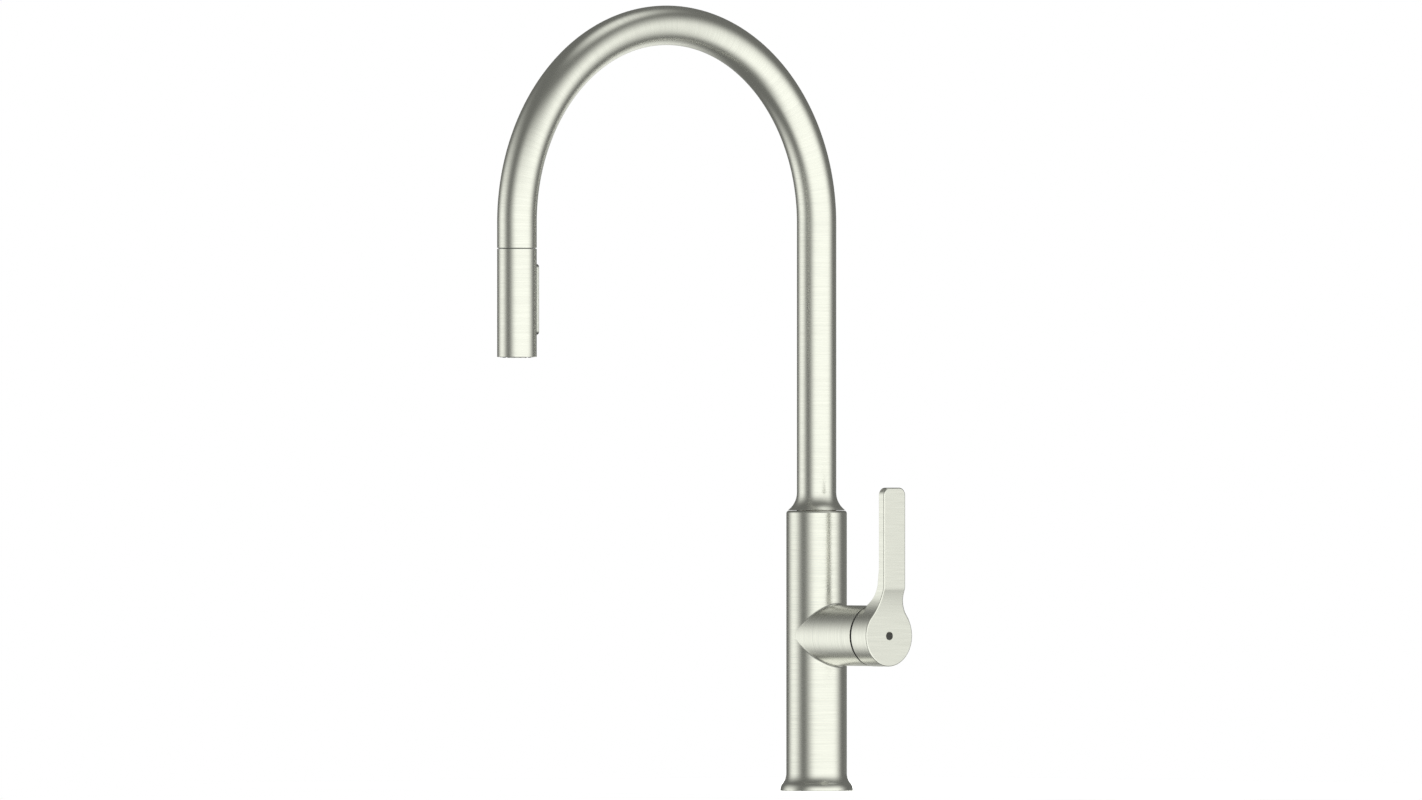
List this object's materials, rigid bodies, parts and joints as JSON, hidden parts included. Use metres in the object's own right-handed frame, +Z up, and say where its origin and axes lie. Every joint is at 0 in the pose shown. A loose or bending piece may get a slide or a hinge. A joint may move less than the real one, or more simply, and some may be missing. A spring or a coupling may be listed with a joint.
{
  "type": "pull down kitchen faucet",
  "caption": "Tall single-lever gooseneck kitchen faucet with a swivelling spout, a side lever on a round column and a pull-down spray wand with a rocker button.",
  "frame": {"origin": "on the column's axis, in the plane of the deck that the faucet stands on", "axes": "+Z up along the column, -Y the way the spout reaches at rest, +X out along the boss of the lever"},
  "size_m": [0.1028, 0.2969, 0.5179],
  "materials": {
    "brushed_nickel": "satin brushed nickel plate, warm ivory tone, fine lines round each round piece",
    "brass": "turned",
    "copper": "drawn tube",
    "steel": "turned stainless steel",
    "magnet": "sintered and plated",
    "ceramic": "lapped alumina",
    "white_plastic": "moulded acetal",
    "grey_plastic": "moulded, fine texture",
    "button_plastic": "satin moulded",
    "black_rubber": "moulded rubber and silicone",
    "braided_sleeve": "woven nylon sleeve",
    "dark_inlay": "plain enamel dot"
  },
  "bodies": {
    "column": {"faucet_body": "brushed_nickel", "base_seal": "black_rubber", "base_plate": "brass", "hose_guide": "white_plastic", "hot_water_tube": "copper", "mixed_water_tube": "copper", "cold_water_tube": "copper", "valve_block": "brass", "cartridge_seal": "black_rubber", "cartridge_base": "white_plastic", "fixed_ceramic_disc": "ceramic", "cartridge_housing": "white_plastic", "cartridge_nut": "brass", "bonnet_ring": "black_rubber", "upper_swivel_bush": "white_plastic", "lower_swivel_bush": "white_plastic", "hose_coupling": "brass"},
    "spout": {"spout_tube": "brushed_nickel", "spout_collar": "brushed_nickel", "spout_spigot": "brass", "spout_clip": "steel", "spout_o_ring": "black_rubber", "dock_bush": "grey_plastic", "dock_magnet": "magnet", "spray_hose": "braided_sleeve"},
    "wand": {"spray_shell": "brushed_nickel", "spray_core": "grey_plastic", "button_pin": "steel", "check_valve": "white_plastic", "spray_face": "grey_plastic", "nozzle_mat": "black_rubber", "stream_aerator": "white_plastic", "hose_nut": "brass", "hose_ferrule": "steel"},
    "rocker": {"spray_button": "button_plastic"},
    "diverter": {"diverter_spool": "white_plastic"},
    "turret": {"cartridge_turret": "grey_plastic", "turret_pin": "steel"},
    "lever": {"lever_handle": "brushed_nickel", "cartridge_stem": "steel", "handle_set_screw": "steel", "screw_hole_plug": "grey_plastic", "index_inlay": "dark_inlay"},
    "mixing_disc": {"moving_ceramic_disc": "ceramic", "disc_carrier": "white_plastic"}
  },
  "joints": [
    {"name": "spout_swivel", "type": "hinge", "parent": "column", "child": "spout", "pos_m": [0, 0, 0.185], "axis": [0, 0, 1], "range_deg": [-180, 180]},
    {"name": "wand_pull", "type": "slide", "parent": "spout", "child": "wand", "axis": [0, 0, -1], "range_m": [0, 0.4]},
    {"name": "spray_rocker", "type": "hinge", "parent": "wand", "child": "rocker", "pos_m": [0, -0.2524, 0.3244], "axis": [1, 0, 0], "range_deg": [-3, 3]},
    {"name": "diverter_slide", "type": "slide", "parent": "wand", "child": "diverter", "axis": [0, 0, 1], "range_m": [-0.0012, 0.0012]},
    {"name": "handle_temperature", "type": "hinge", "parent": "column", "child": "turret", "pos_m": [0.042, 0, 0.1026], "axis": [1, 0, 0], "range_deg": [-50, 50]},
    {"name": "handle_flow", "type": "hinge", "parent": "turret", "child": "lever", "pos_m": [0.042, 0, 0.1026], "axis": [0, 1, 0], "range_deg": [0, 22]},
    {"name": "disc_slide", "type": "slide", "parent": "turret", "child": "mixing_disc", "axis": [0, 0, 1], "range_m": [0, 0.0025]}
  ],
  "couplings": [
    {"joint": "disc_slide", "follows": "handle_flow", "m_per_rad": 0.0062},
    {"joint": "diverter_slide", "follows": "spray_rocker", "m_per_rad": 0.02}
  ]
}
